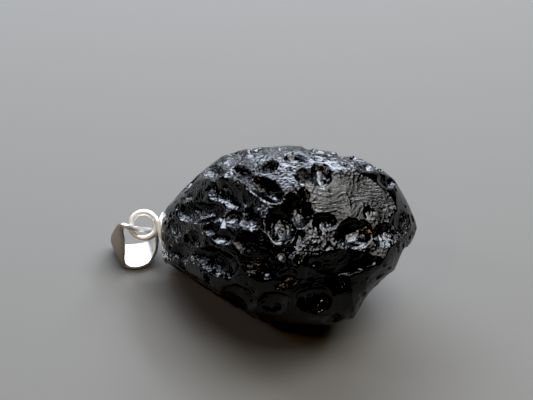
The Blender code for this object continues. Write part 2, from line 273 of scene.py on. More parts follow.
# Broad hollows under the two long ridges, where smaller scoops lie, each with its fullness (0.5 for a cone).
SEEN_HOLLOWS = (
    (SeenScoop(-8.2, 3.9, 4.4, 3.0, -10, 1.30), 1.0),
    (SeenScoop(6.4, -5.8, 6.6, 4.1, 4, 2.00), 0.55),
)


@dataclass
class StoneForm:
    """The tektite's shape: a tapered lump pressed flat in places, cut by scoops and then by small pits.

    Args:
        stations, spokes: rings of points along the stone, and points on each ring.
        end_setback: how far back and down the cut end lies behind the stone's middle plane.
        setback_start: the place across where that begins.
        width_over_height: of a cross-section.
        lump_height, lump_size: of the gentle lumps of the whole form.
        scatter_seed, scatter_tries: of the random scoops, as in the solid.
        scatter_half_width, scatter_slenderness: their sizes, least and most, as in the solid.
        scatter_depth_over_width, scatter_spacing: their depth, and how near they may come, over their sizes.
        side_on: how far past side-on the surface may turn and still count as showing.
        calm: the smooth, flow-lined zone as seen: across, up, half width and half height.
        busy: the zone with the most small pits, in the same way.
        clear: the zone low on the front with the fewest, in the same way.
        ripple: size and height of small lumps that keep the flats' edges from being straight.
        rest_middle, rest_radius, rest_blend, rest_slope_run: the flat spot underneath and the bowl round it.
        rest_fade, rest_height: how far out scoops come back, and how high up the spot has any say.
        seen_reach, seen_fade: how far round the stone the scoops that show reach, and fade out.
        wander, wander_seed: sizes and amounts of the noise that makes scoop edges uneven, and its seed.
        scoop_fullness: how far a scoop's floor is from a parabola (1) to a flat-bottomed pan.
        scoop_deepening: of the scoops that show, over the solid's rounder ones.
        small_seed, small_pits, small_half_width: of the small pits, which are too fine for the solid.
        flow_radius: of the drum on which the flow lines are laid out.
    """

    stations: int = 300
    spokes: int = 320
    end_setback: float = 8.0
    setback_start: float = 1.5
    width_over_height: float = 1.13
    lump_height: float = 0.35
    lump_size: float = 7.0
    scatter_seed: int = 47
    scatter_tries: int = 900
    scatter_half_width: Pair = (1.2, 2.7)
    scatter_slenderness: Pair = (0.62, 1.0)
    scatter_depth_over_width: float = 0.38
    scatter_spacing: float = 0.85
    side_on: float = 0.05
    calm: Oval = (9.2, 4.4, 6.5, 3.6)
    busy: Oval = (-4.6, 8.4, 7.5, 2.6)
    clear: Oval = (3.6, -6.3, 8.6, 4.4)
    ripple: Pair = (1.9, 0.08)
    rest_middle: Pair = (-1.0, 1.1)
    rest_radius: float = 3.8
    rest_blend: float = 2.6
    rest_slope_run: float = 110.0
    rest_fade: float = 1.5
    rest_height: float = 3.0
    seen_reach: float = 2.2
    seen_fade: float = 1.6
    wander: tuple[Pair, ...] = ((3.2, 0.38), (1.1, 0.12))
    wander_seed: int = 2
    scoop_fullness: float = 1.3
    scoop_deepening: float = 1.2
    small_seed: int = 11
    small_pits: int = 420
    small_half_width: Pair = (0.28, 0.85)
    flow_radius: float = 8.5

    def setback(self, across: Array) -> Array:
        """How far behind the middle plane the stone's axis lies."""
        share = (self.setback_start - across) / (self.setback_start - STONE_OUTLINE[0][0])
        return self.end_setback * np.clip(share, 0.0, 1.0) ** 2

    @staticmethod
    def edges(across: Array) -> tuple[Array, Array]:
        """The outline's upper and lower edge at each place across."""
        places, upper, lower = np.array(STONE_OUTLINE).T
        return np.interp(across, places, upper), np.interp(across, places, lower)

    def grid(self, across: Array, spokes: int) -> Array:
        """Rings of points of the plain tapered form, one for each place across."""
        upper, lower = self.edges(across)
        turns = np.linspace(0.0, 2.0 * math.pi, spokes, endpoint=False)
        rings = np.zeros((len(across), spokes, 3))
        stretch = math.hypot(self.width_over_height * SEEN.up_way[1], SEEN.up_way[2])
        for i, place in enumerate(across):
            depth = self.setback(place)
            centre = SEEN.place(place, (upper[i] + lower[i]) / 2.0, depth)
            half = (upper[i] - lower[i]) / 2.0 * (SEEN.distance + depth) / SEEN.distance / stretch
            rings[i, :, 0] = centre[0]
            rings[i, :, 1] = centre[1] + self.width_over_height * half * np.cos(turns)
            rings[i, :, 2] = centre[2] + half * np.sin(turns)
        return rings

    def eased_stations(self, count: int) -> Array:
        """Places across as the solid has them: a little closer together at both ends."""
        along = (1.0 - np.cos(np.linspace(0.12, math.pi, count))) / 2.0
        along = (along - along[0]) / (along[-1] - along[0])
        share = 0.35 * along + 0.65 * np.linspace(0.0, 1.0, count)
        return STONE_OUTLINE[0][0] + share * (STONE_OUTLINE[-1][0] - STONE_OUTLINE[0][0])

    def even_stations(self, count: int) -> Array:
        """Places across that are evenly spaced along the outline itself, so no ring of faces is long."""
        fine = np.linspace(STONE_OUTLINE[0][0], STONE_OUTLINE[-1][0], 4000)
        upper, lower = self.edges(fine)
        half = (upper - lower) / 2.0
        length = np.concatenate([[0.0], np.cumsum(np.hypot(np.diff(fine), np.diff(half)))])
        return np.interp(np.linspace(0.0, length[-1], count), length, fine)

    @staticmethod
    def normals(grid: Array) -> Array:
        """Outward unit normals of a closed grid, from the differences between neighbours."""
        along = np.gradient(grid, axis=0)
        around = np.roll(grid, -1, axis=1) - np.roll(grid, 1, axis=1)
        normals = np.cross(around, along)
        length = np.linalg.norm(normals, axis=2, keepdims=True)
        return normals / np.maximum(length, 1e-9)

    @staticmethod
    def press_flats(points: Array) -> Array:
        """Points beyond a flat are pressed back on it."""
        pressed = points.copy()
        for _, place, way in STONE_FLATS:
            facing = np.array(way) / np.linalg.norm(way)
            beyond = np.maximum((pressed - SEEN.place(*place)) @ facing, 0.0)
            pressed -= beyond[:, None] * facing
        return pressed

    def wandered(self, points: Array) -> Array:
        """Points moved a little by smooth noise, so that an oval drawn on them has an uneven edge."""
        noise.seed_set(self.wander_seed)
        moved = points.copy()
        for size, amount in self.wander:
            shifts = [noise.noise_vector(Vector(point / size)) for point in points]
            moved += amount * np.array([tuple(shift) for shift in shifts])
        return moved

    @staticmethod
    def in_oval(across: Array, up: Array, oval: Oval) -> Array:
        """How far into an oval zone each place is: 0 in its middle and 1 on its edge."""
        return ((across - oval[0]) / oval[2]) ** 2 + ((up - oval[1]) / oval[3]) ** 2

    def pitting(self, points: Array, across: Array, up: Array, showing: Array) -> Array:
        """How pitted each point is, from 0 where the glass is calm to 1 where it is busy."""
        patches = np.array([noise.noise(Vector(point / 5.0)) for point in points])
        sheltered = 0.5 * np.clip((-9.0 - across) / 4.0, 0.0, 1.0) + np.clip((across - 11.0) / 2.0, 0.0, 1.0)
        share = 0.35 + 0.5 * patches + 0.45 * np.clip(sheltered + ~showing, 0.0, 1.0)
        calm, busy, clear = (
            np.clip(reach - self.in_oval(across, up, oval), 0.0, 1.0) * showing
            for reach, oval in ((1.5, self.calm), (1.4, self.busy), (1.4, self.clear))
        )
        share = share + (1.0 - share) * busy
        return np.clip(share * (1.0 - 0.8 * calm) * (1.0 - 0.85 * clear), 0.0, 1.0)

    def _surface_scoop(
        self, middle: Array, facing: Array, turn: float, half: float, slender: float, depth: float
    ) -> SurfaceScoop:
        """A scoop set on the surface at a point, turned about the way that the surface faces there."""
        along = np.cross(facing, [0.0, 0.0, 1.0]) + 1e-6
        along /= np.linalg.norm(along)
        aside = np.cross(facing, along)
        first = math.cos(turn) * along + math.sin(turn) * aside
        second = math.cos(turn) * aside - math.sin(turn) * along
        return SurfaceScoop(middle, facing, first, second, half, half * slender, depth)

    def scattered_scoops(self) -> list[SurfaceScoop]:
        """The random scoops that cover what the seen scoops leave, the same ones that the solid has."""
        rng = np.random.default_rng(self.scatter_seed)
        grid = self.grid(self.eased_stations(60), 80)
        normals = self.normals(grid)
        taken: list[tuple[Array, float]] = []
        scoops = []
        for _ in range(self.scatter_tries):
            i = rng.integers(2, 57)
            j = rng.integers(0, 80)
            half = rng.uniform(*self.scatter_half_width)
            slender = rng.uniform(*self.scatter_slenderness)
            turn = rng.uniform(0.0, math.pi)
            middle, facing = grid[i, j], normals[i, j]
            radius = np.linalg.norm(middle[1:] - grid[i, :, 1:].mean(axis=0))
            half = min(half, 0.34 * radius + 0.5)
            if any(np.linalg.norm(middle - at) < self.scatter_spacing * (half + size) for at, size in taken):
                continue
            across, up, _ = (float(value[0]) for value in SEEN.seen(middle[None, :]))
            showing = facing @ SEEN.away < self.side_on
            if showing and self.in_oval(across, up, self.calm) < 1.0:
                continue
            if showing and any(
                math.hypot(across - s.across, up - s.up) < 0.75 * (s.half_width + half) for s in SEEN_SCOOPS
            ):
                continue
            taken.append((middle, half))
            depth = half * self.scatter_depth_over_width
            scoops.append(self._surface_scoop(middle, facing, turn, half, slender, depth))
        return scoops

    def small_scoops(self, grid: Array, normals: Array) -> list[SurfaceScoop]:
        """Small pits all over the cut surface, fewer in the calm zone."""
        rng = np.random.default_rng(self.small_seed)
        stations, spokes, _ = grid.shape
        pits = []
        for _ in range(self.small_pits):
            i = rng.integers(2, stations - 2)
            j = rng.integers(0, spokes)
            lo, hi = self.small_half_width
            half = lo + (hi - lo) * rng.uniform() ** 2.2
            slender = rng.uniform(0.6, 1.0)
            turn = rng.uniform(0.0, math.pi)
            depth = half * rng.uniform(0.30, 0.55)
            keep = rng.uniform()
            radius = np.linalg.norm(grid[i, j, 1:] - grid[i, :, 1:].mean(axis=0))
            if keep > radius / 10.0:
                continue
            across, up, _ = (float(value[0]) for value in SEEN.seen(grid[i, j][None, :]))
            showing = normals[i, j] @ SEEN.away < self.side_on
            if showing and self.in_oval(across, up, self.calm) < 1.0 and keep > 0.15:
                continue
            pits.append(self._surface_scoop(grid[i, j], normals[i, j], turn, half, slender, depth))
        return pits

    def cut_by(self, cut: Array, share: Array, depth: float, fullness: float = 0.0) -> Array:
        """The deeper of a cut so far and of a scoop, which has the usual fullness unless one is given."""
        return np.maximum(cut, depth * (1.0 - np.clip(share, 0.0, 1.0) ** (fullness or self.scoop_fullness)))

    def flow(self, grid: Array) -> Array:
        """Where each point lies in the stone's flow, in millimetres: the first place runs along the streaks.

        The glass ran from the cut end to the tip, so streaks follow the outline and close up at the tip.
        """
        turns = np.linspace(0.0, 2.0 * math.pi, grid.shape[1], endpoint=False)
        flow = np.empty(grid.shape)
        flow[..., 0] = grid[:, :1, 0]
        flow[..., 1] = self.flow_radius * np.cos(turns)
        flow[..., 2] = self.flow_radius * np.sin(turns)
        return flow

    def points(self) -> tuple[Array, Array, Array]:
        """The finished surface as a grid of points, with each point's pitting, from 0 to 1, and its flow."""
        grid = self.grid(self.even_stations(self.stations), self.spokes)
        normals = self.normals(grid).reshape(-1, 3)
        points = grid.reshape(-1, 3)
        lumps = np.array([noise.noise(Vector(point / self.lump_size)) for point in points])
        points = self.press_flats(points + self.lump_height * lumps[:, None] * normals)
        size, height = self.ripple
        quiet = np.clip(self.in_oval(*SEEN.seen(points)[:2], self.calm), 0.25, 1.0)
        ripple = height * quiet * np.array([noise.noise(Vector(point / size)) for point in points])
        points = points + ripple[:, None] * normals
        wandered = self.wandered(points)
        across, up, _ = SEEN.seen(wandered)
        depth = SEEN.seen(points)[2]
        showing = depth < self.setback(across) + self.seen_reach
        cut = np.zeros(len(points))
        for scoop in SEEN_SCOOPS + EDGE_NICKS:
            cut = self.cut_by(cut, scoop.share(across, up), scoop.depth * self.scoop_deepening)
        hollows = np.zeros(len(points))
        for hollow, fullness in SEEN_HOLLOWS:
            hollows = self.cut_by(hollows, hollow.share(across, up), hollow.depth, fullness)
        cut = (cut + hollows) * np.clip((self.setback(across) + self.seen_reach - depth) / self.seen_fade, 0.0, 1.0)
        for scoop in self.scattered_scoops():
            cut = self.cut_by(cut, scoop.share(wandered), scoop.depth)
        small = np.zeros(len(points))
        for pit in self.small_scoops(points.reshape(grid.shape), normals.reshape(grid.shape)):
            near = np.abs(wandered - pit.middle).max(axis=1) < 2.0 * pit.half
            small[near] = self.cut_by(small[near], pit.share(wandered[near]), pit.depth)
        cut += small
        from_rest = np.hypot(points[:, 0] - self.rest_middle[0], points[:, 1] - self.rest_middle[1])
        clear_of_rest = np.clip((from_rest - self.rest_radius) / self.rest_fade, 0.0, 1.0)
        cut *= np.where(points[:, 2] < self.rest_height, clear_of_rest, 1.0)
        inward = normals.copy()
        inward[: self.spokes, 0] = 0.0
        points = points - cut[:, None] * inward
        points[: self.spokes, 0] = grid[0, 0, 0]
        bowl = np.maximum(from_rest - self.rest_radius, 0.0) ** 2 / self.rest_slope_run
        height = np.maximum(points[:, 2], bowl)
        pressed = np.clip((self.rest_radius + self.rest_blend - from_rest) / self.rest_blend, 0.0, 1.0)
        pressed *= height < self.rest_height
        points[:, 2] = height - (height - bowl) * pressed
        pitting = self.pitting(points, across, up, showing) * (pressed < 0.5)
        return points.reshape(grid.shape), pitting, self.flow(grid)


def add_node(tree: NodeTree, kind: str, settings: dict = {}, links: dict = {}) -> bpy.types.Node:
    """Add a node with its settings, socket values and links.

    Args:
        tree: the node tree.
        kind: the node's type name.
        settings: node properties by name, and input values by socket name or number.
        links: for each input socket, the output socket that feeds it, or a node for its first output.

    Returns:
        The new node.
    """
    node = tree.nodes.new(kind)
    for key, value in settings.items():
        if isinstance(key, str) and hasattr(node, key):
            setattr(node, key, value)
        else:
            node.inputs[key].default_value = value
    for key, source in links.items():
        tree.links.new(source.outputs[0] if isinstance(source, bpy.types.Node) else source, node.inputs[key])
    return node


def linear(colour: str, alpha: float = 1.0) -> Colour:
    """A linear colour from an sRGB hex value such as "#101010"."""
    parts = [int(colour[k : k + 2], 16) / 255.0 for k in (1, 3, 5)]
    bent = [c / 12.92 if c <= 0.04045 else ((c + 0.055) / 1.055) ** 2.4 for c in parts]
    return (*bent, alpha)


def new_material(name: str) -> tuple[Material, NodeTree, bpy.types.Node]:
    """A material with only its Principled shader and output, and its tree and shader."""
    material = bpy.data.materials.new(name)
    material.use_nodes = True
    tree = material.node_tree
    return material, tree, tree.nodes["Principled BSDF"]


@dataclass(frozen=True)
class TektiteGlass:
    """Natural impact glass: near black through its whole thickness, glossy, with an etched surface.

    Soil acids etched the melt's skin. They left dimples of about 0.4 millimetres with sharp rims, each with
    its own glint, and brought out fine flow lines where the glass had run. Thin chips show a warm brown.

    Args:
        body, chip: tones of the glass and of its thin chips.
        ior, gloss, satin: of the shader, where gloss is the roughness of busy glass and satin of calm glass.
        dimple_mm, dimple_depth_mm: spacing and depth of the dimples.
        fine_dimple_mm, fine_depth_mm: of the fine ones. Finer ones than these can't be made out in the photo, so
            they are drawn as coarse as they need to be to show.
        streak_mm, streak_depth_mm: width and depth of the flow lines.
        swirl_mm, swirl_shift_mm: size and amount of the bends that make the dimples uneven.
        patch_mm: size of the patches that are etched more or less.
        sweep_mm, sweep_shift_mm: size and amount of the curl of the flow lines.
        chip_mm: size of the chips.
    """

    body: str = "#050505"
    chip: str = "#3c2010"
    ior: float = 1.50
    gloss: float = 0.07
    satin: float = 0.10
    dimple_mm: float = 0.40
    fine_dimple_mm: float = 0.19
    streak_mm: float = 0.34
    dimple_depth_mm: float = 0.25
    fine_depth_mm: float = 0.08
    streak_depth_mm: float = 0.058
    swirl_mm: float = 1.6
    swirl_shift_mm: float = 0.4
    patch_mm: float = 2.2
    sweep_mm: float = 4.5
    sweep_shift_mm: float = 4.5
    chip_mm: float = 0.16

    def build(self) -> Material:
        """Make the material."""
        material, tree, shader = new_material("tektite_glass_etched")
        where = add_node(tree, "ShaderNodeTexCoord").outputs["Object"]
        pitting = add_node(tree, "ShaderNodeAttribute", {"attribute_name": "pitting"}).outputs["Fac"]
        flow = add_node(tree, "ShaderNodeAttribute", {"attribute_name": "flow"}).outputs["Vector"]
        swirl, patches, sweep, tiny = (
            add_node(
                tree,
                "ShaderNodeTexNoise",
                {"Scale": 1.0 / (size * MM), "Detail": detail, "Roughness": unevenness},
                {"Vector": where},
            ).outputs
            for size, detail, unevenness in (
                (self.swirl_mm, 2.0, 0.5),
                (self.patch_mm, 1.0, 0.5),
                (self.sweep_mm, 1.5, 0.5),
                (self.chip_mm, 3.0, 0.6),
            )
        )
        bent, curled = (
            add_node(
                tree,
                "ShaderNodeVectorMath",
                {"operation": "MULTIPLY_ADD", 1: (shift * MM,) * 3},
                {0: bends["Color"], 2: place},
            )
            for bends, shift, place in ((swirl, self.swirl_shift_mm, where), (sweep, self.sweep_shift_mm, flow))
        )
        mask = add_node(
            tree, "ShaderNodeMapRange", {"From Min": 0.38, "From Max": 0.62, "To Min": 0.2}, {"Value": patches[0]}
        )
        strength = add_node(tree, "ShaderNodeMath", {"operation": "MULTIPLY"}, {0: pitting, 1: mask})
        normal = None
        for spacing, depth in ((self.dimple_mm, self.dimple_depth_mm), (self.fine_dimple_mm, self.fine_depth_mm)):
            cells = add_node(
                tree, "ShaderNodeTexVoronoi", {"feature": "F1", "Scale": 1.0 / (spacing * MM)}, {"Vector": bent}
            ).outputs["Distance"]
            bowl = add_node(tree, "ShaderNodeMath", {"operation": "MULTIPLY"}, {0: cells, 1: cells})
            height = add_node(tree, "ShaderNodeMath", {"operation": "MULTIPLY"}, {0: bowl, 1: strength})
            links = {"Height": height} if normal is None else {"Height": height, "Normal": normal}
            normal = add_node(tree, "ShaderNodeBump", {"Strength": 1.0, "Distance": depth * MM}, links).outputs[0]
        stretched = add_node(tree, "ShaderNodeMapping", {"Scale": (0.10, 1.0, 1.0)}, {"Vector": curled})
        streaks = add_node(
            tree,
            "ShaderNodeTexNoise",
            {"Scale": 1.0 / (self.streak_mm * MM), "Detail": 3.0, "Roughness": 0.6},
            {"Vector": stretched},
        )
        smooth = add_node(
            tree, "ShaderNodeMapRange", {"From Max": 0.65, "To Min": 1.0, "To Max": 0.05}, {"Value": pitting}
        )
        streaks = add_node(tree, "ShaderNodeMath", {"operation": "MULTIPLY"}, {0: streaks, 1: smooth})
        normal = add_node(
            tree,
            "ShaderNodeBump",
            {"Strength": 1.0, "Distance": self.streak_depth_mm * MM},
            {"Height": streaks, "Normal": normal},
        ).outputs[0]
        chips = add_node(tree, "ShaderNodeMapRange", {"From Min": 0.70, "From Max": 0.74}, {"Value": tiny[0]})
        colour = add_node(
            tree, "ShaderNodeMix", {"data_type": "RGBA", 6: linear(self.body), 7: linear(self.chip)}, {0: chips}
        ).outputs[2]
        rough = add_node(
            tree, "ShaderNodeMapRange", {"To Min": self.satin, "To Max": self.gloss}, {"Value": pitting}
        ).outputs[0]
        shader.inputs["IOR"].default_value = self.ior
        tree.links.new(colour, shader.inputs["Base Color"])
        tree.links.new(rough, shader.inputs["Roughness"])
        tree.links.new(normal, shader.inputs["Normal"])
        return material


@dataclass(frozen=True)
class SterlingSilver:
    """Sterling silver, brushed to a satin: bright and slightly warm white, with fine wear marks.

    Args:
        name: of the material.
        tone, roughness: of the clean metal.
        wear_mm, wear_depth_mm: of the wear marks. Real ones are finer than a pixel of the render, so they are
            drawn as coarse as they need to be to show.
        painted_shade: painted shade, a darker tone painted on the outer side of the fold where that side lies in
            shade.
            painted_shade_from_mm, painted_shade_fade_mm: the place along X that the painted shade lies left of, and
            its fade.
    """

    name: str
    tone: str = "#f2efe9"
    roughness: float = 0.16
    wear_mm: float = 0.5
    painted_shade: str = "#f2efe9"
    painted_shade_from_mm: float = -100.0
    painted_shade_fade_mm: float = 0.4
    wear_depth_mm: float = 0.006

    def build(self) -> Material:
        """Make the material."""
        material, tree, shader = new_material(self.name)
        where = add_node(tree, "ShaderNodeTexCoord").outputs["Object"]
        wear = add_node(
            tree, "ShaderNodeTexNoise", {"Scale": 1.0 / (self.wear_mm * MM), "Detail": 3.0}, {"Vector": where}
        )
        rough = add_node(
            tree,
            "ShaderNodeMapRange",
            {"From Min": 0.3, "From Max": 0.7, "To Min": self.roughness - 0.04, "To Max": self.roughness + 0.08},
            {"Value": wear},
        ).outputs[0]
        normal = add_node(
            tree, "ShaderNodeBump", {"Strength": 1.0, "Distance": self.wear_depth_mm * MM}, {"Height": wear}
        ).outputs[0]
        # Painted shade: left of a place along X the metal is painted a darker tone, standing in for the shade on the
        # outer side of the fold.
        left = add_node(tree, "ShaderNodeSeparateXYZ", links={0: where}).outputs["X"]
        start = self.painted_shade_from_mm * MM
        end = start - self.painted_shade_fade_mm * MM
        share = add_node(tree, "ShaderNodeMapRange", {"From Min": start, "From Max": end}, {"Value": left})
        colour = add_node(
            tree, "ShaderNodeMix", {"data_type": "RGBA", 6: linear(self.tone), 7: linear(self.painted_shade)}, {0: share}
        ).outputs[2]
        tree.links.new(colour, shader.inputs["Base Color"])
        shader.inputs["Metallic"].default_value = 1.0
        tree.links.new(rough, shader.inputs["Roughness"])
        tree.links.new(normal, shader.inputs["Normal"])
        return material


@dataclass(frozen=True)
class PaintedBoard:
    """Matt painted board: the plain pale surface that the pendant lies on."""

    tone: str = "#66645f"
    roughness: float = 0.8

    def build(self) -> Material:
        """Make the material."""
        material, _, shader = new_material("painted_board_matt")
        shader.inputs["Base Color"].default_value = linear(self.tone)
        shader.inputs["Roughness"].default_value = self.roughness
        return material


def fit_in_box(points: Array, node: Node) -> Array:
    """Points scaled down a little along X, Y and Z where they would leave the solid's own box."""
    low, high = (np.array(corner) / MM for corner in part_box(node.value))
    own_low, own_high = points.min(axis=0), points.max(axis=0)
    kept_low, kept_high = np.maximum(own_low, low), np.minimum(own_high, high)
    return kept_low + (points - own_low) * (kept_high - kept_low) / (own_high - own_low)


def add_object(name: str, data: Mesh | bpy.types.Light | bpy.types.Camera) -> Object:
    """An object with its data, linked to the scene."""
    thing = bpy.data.objects.new(name, data)
    bpy.context.collection.objects.link(thing)
    return thing


def settled(piece: Object) -> Mesh:
    """The plain mesh that a piece's modifiers make."""
    bpy.context.view_layer.update()
    return bpy.data.meshes.new_from_object(piece.evaluated_get(bpy.context.evaluated_depsgraph_get()))


def new_piece(name: str, points: Array, faces: list[tuple[int, ...]], material: Material) -> Object:
    """A smooth-shaded object in metres, from points in millimetres, with its faces turned outwards.

    Args:
        name: the piece's name.
        points: one row for each point.
        faces: point numbers.
        material: its finish.

    Returns:
        The object, linked to the scene.
    """
    mesh = bpy.data.meshes.new(name)
    mesh.from_pydata((points * MM).tolist(), [], faces)
    shape = bmesh.new()
    shape.from_mesh(mesh)
    bmesh.ops.recalc_face_normals(shape, faces=shape.faces)
    shape.to_mesh(mesh)
    shape.free()
    mesh.materials.append(material)
    mesh.shade_smooth()
    mesh.set_sharp_from_angle(angle=CREASE_ANGLE)
    return add_object(name, mesh)


def tube_faces(rings: int, corners: int, closed: bool) -> list[tuple[int, int, int, int]]:
    """Faces between rings of points, where closed says that the last ring joins the first."""
    faces = []
    for i in range(rings if closed else rings - 1):
        a, b = i * corners, (i + 1) % rings * corners
        for j in range(corners):
            after = (j + 1) % corners
            faces.append((a + j, b + j, b + after, a + after))
    return faces


def bake_nodes(piece: Object, tree: NodeTree, values: dict[str, object]) -> None:
    """Run a Geometry Nodes tree on a piece and keep its result as the piece's plain mesh.

    Args:
        piece: the object.
        tree: the tree.
        values: the tree's inputs by name.
    """
    modifier = piece.modifiers.new(tree.name, "NODES")
    modifier.node_group = tree
    for item in tree.interface.items_tree:
        if item.item_type == "SOCKET" and item.in_out == "INPUT" and item.name in values:
            modifier[item.identifier] = values[item.name]
    made = settled(piece)
    piece.modifiers.clear()
    made.name = piece.name
    piece.data = made


def new_tree(name: str, sizes: dict[str, float]) -> tuple[NodeTree, bpy.types.Node]:
    """A Geometry Nodes tree with a geometry input, float inputs with their defaults, and a Material input.

    Args:
        name: the tree's name.
        sizes: the default of each float input by name.

    Returns:
        The tree and its input node.
    """
    tree = bpy.data.node_groups.new(name, "GeometryNodeTree")
    tree.interface.new_socket("Geometry", in_out="INPUT", socket_type="NodeSocketGeometry")
    for size, value in sizes.items():
        tree.interface.new_socket(size, in_out="INPUT", socket_type="NodeSocketFloat").default_value = value
    tree.interface.new_socket("Material", in_out="INPUT", socket_type="NodeSocketMaterial")
    tree.interface.new_socket("Geometry", in_out="OUTPUT", socket_type="NodeSocketGeometry")
    return tree, tree.nodes.new("NodeGroupInput")


def close_tree(tree: NodeTree, given: bpy.types.Node, geometry: bpy.types.Node) -> NodeTree:
    """End a tree in Realize Instances and Set Material."""
    real = add_node(tree, "GeometryNodeRealizeInstances", links={0: geometry})
    worn = add_node(tree, "GeometryNodeSetMaterial", links={0: real, "Material": given.outputs["Material"]})
    add_node(tree, "NodeGroupOutput", links={0: worn})
    return tree


@dataclass(frozen=True)
class EtchPits:
    """Small round pits etched in the stone's skin, denser where it is more pitted.

    Args:
        spacing: between pits where every place has one, in millimetres.
        depth: of a pit over its own radius.
        share: the part of the places that have a pit on busy glass.
        seed: of their layout.
    """

    spacing: float
    depth: float
    share: float
    seed: float

    def tree(self) -> NodeTree:
        """Build the tree: it moves points inwards where a pit lies."""
        sizes = {"Spacing": 1.0, "Depth": 0.5, "Share": 0.5, "Seed": 0.0}
        tree, given = new_tree("etch_pits", sizes)
        place = add_node(tree, "GeometryNodeInputPosition")
        pitting = add_node(tree, "GeometryNodeInputNamedAttribute", {"data_type": "FLOAT", "Name": "pitting"})
        scale = add_node(tree, "ShaderNodeMath", {"operation": "DIVIDE", 0: 1.0}, {1: given.outputs["Spacing"]})
        cells = add_node(
            tree,
            "ShaderNodeTexVoronoi",
            {"voronoi_dimensions": "4D"},
            {"Vector": place, "Scale": scale, "W": given.outputs["Seed"]},
        )
        random = add_node(tree, "FunctionNodeSeparateColor", links={0: cells.outputs["Color"]})
        radius = add_node(tree, "ShaderNodeMapRange", {"To Min": 0.24, "To Max": 0.52}, {"Value": random.outputs[0]})
        near = add_node(tree, "ShaderNodeMath", {"operation": "DIVIDE"}, {0: cells.outputs["Distance"], 1: radius})
        square = add_node(tree, "ShaderNodeMath", {"operation": "POWER", 1: 2.0}, {0: near})
        bowl = add_node(tree, "ShaderNodeMath", {"operation": "SUBTRACT", 0: 1.0, "use_clamp": True}, {1: square})
        odds = add_node(tree, "ShaderNodeMath", {"operation": "MULTIPLY"}, {0: pitting, 1: given.outputs["Share"]})
        here = add_node(tree, "ShaderNodeMath", {"operation": "LESS_THAN"}, {0: random.outputs[1], 1: odds})
        amount = radius
        for factor in (given.outputs["Spacing"], given.outputs["Depth"], bowl, here):
            amount = add_node(tree, "ShaderNodeMath", {"operation": "MULTIPLY"}, {0: amount, 1: factor})
        inward = add_node(tree, "ShaderNodeMath", {"operation": "MULTIPLY", 1: -1.0}, {0: amount})
        normal = add_node(tree, "GeometryNodeInputNormal")
        shift = add_node(tree, "ShaderNodeVectorMath", {"operation": "SCALE"}, {0: normal, "Scale": inward})
        etched = add_node(
            tree, "GeometryNodeSetPosition", links={"Geometry": given.outputs["Geometry"], "Offset": shift}
        )
        return close_tree(tree, given, etched)

    def etch(self, piece: Object, material: Material) -> None:
        """Etch a piece's surface."""
        values = {"Spacing": self.spacing * MM, "Depth": self.depth, "Share": self.share, "Seed": self.seed}
        bake_nodes(piece, self.tree(), {**values, "Material": material})


@dataclass(frozen=True)
class RoundWireRing:
    """A closed ring of round wire about the Z axis of its own frame.

    Args:
        radius: of the wire's middle line, in millimetres.
        wire_radius: of the wire, in millimetres.
        steps, sides: round the ring and round the wire.
    """

    radius: float
    wire_radius: float
    steps: int = 120
    sides: int = 32

    def tree(self) -> NodeTree:
        """Build the tree: it sweeps one circle along another."""
        tree, given = new_tree("round_wire_ring", {"Ring Radius": 1.0, "Wire Radius": 0.2})
        ring, wire = (
            add_node(
                tree, "GeometryNodeCurvePrimitiveCircle", {"Resolution": count}, {"Radius": given.outputs[size]}
            )
            for size, count in (("Ring Radius", self.steps), ("Wire Radius", self.sides))
        )
        swept = add_node(tree, "GeometryNodeCurveToMesh", links={"Curve": ring, "Profile Curve": wire})
        return close_tree(tree, given, swept)

    def build(self, name: str, place: Matrix, material: Material) -> Object:
        """Make the ring, with its frame set at a place."""
        ring = add_object(name, bpy.data.meshes.new(name))
        sizes = {"Ring Radius": self.radius * MM, "Wire Radius": self.wire_radius * MM}
        bake_nodes(ring, self.tree(), {**sizes, "Material": material})
        ring.data.transform(place)
        return ring


def declare(piece: Object, node: Node, body: Body) -> None:
    """Hide the solid that a piece replaces and tie the piece to the body that it moves with."""
    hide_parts(node.value)
    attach(piece, body.value)


@dataclass
class Stone:
    """The tektite's fine surface.

    Args:
        form, finish, etching: its shape, its glass and the layers of small pits etched in it.
        cut_rings, cut_pitting: how many rings next to the cut end are evenly pitted, and how much.
    """

    form: StoneForm = field(default_factory=StoneForm)
    finish: TektiteGlass = field(default_factory=TektiteGlass)
    etching: tuple[EtchPits, ...] = (EtchPits(1.25, 0.55, 0.75, 3.0), EtchPits(0.75, 0.65, 0.95, 8.0))
    cut_rings: int = 3
    cut_pitting: float = 0.7

    def build(self) -> Object:
        """Make the stone: its grid closed by a flat fan at the cut end and a point at the tip."""
        grid, pitting, flow = self.form.points()
        rings, corners, _ = grid.shape
        points = np.vstack([grid.reshape(-1, 3), grid[0].mean(axis=0), grid[-1].mean(axis=0) + [0.2, 0.0, 0.0]])
        cut_middle, tip = len(points) - 2, len(points) - 1
        faces: list[tuple[int, ...]] = list(tube_faces(rings, corners, closed=False))
        last = (rings - 1) * corners
        for j in range(corners):
            after = (j + 1) % corners
            faces.append((cut_middle, j, after))
            faces.append((tip, last + after, last + j))
        points = fit_in_box(points, Node.STONE)
        material = self.finish.build()
        stone = new_piece("tektite_stone_surface", points, faces, material)
        pitting = pitting.reshape(rings, corners)
        pitting[: self.cut_rings] = self.cut_pitting
        attribute = stone.data.attributes.new("pitting", "FLOAT", "POINT")
        attribute.data.foreach_set("value", np.append(pitting.ravel(), [0.0, 0.5]).astype(np.float32))
        flow = np.vstack([flow.reshape(-1, 3), flow[0].mean(axis=0), flow[-1].mean(axis=0)]) * MM
        attribute = stone.data.attributes.new("flow", "FLOAT_VECTOR", "POINT")
        attribute.data.foreach_set("vector", flow.astype(np.float32).ravel())
        for pits in self.etching:
            pits.etch(stone, material)
        declare(stone, Node.STONE, Body.PENDANT)
        return stone


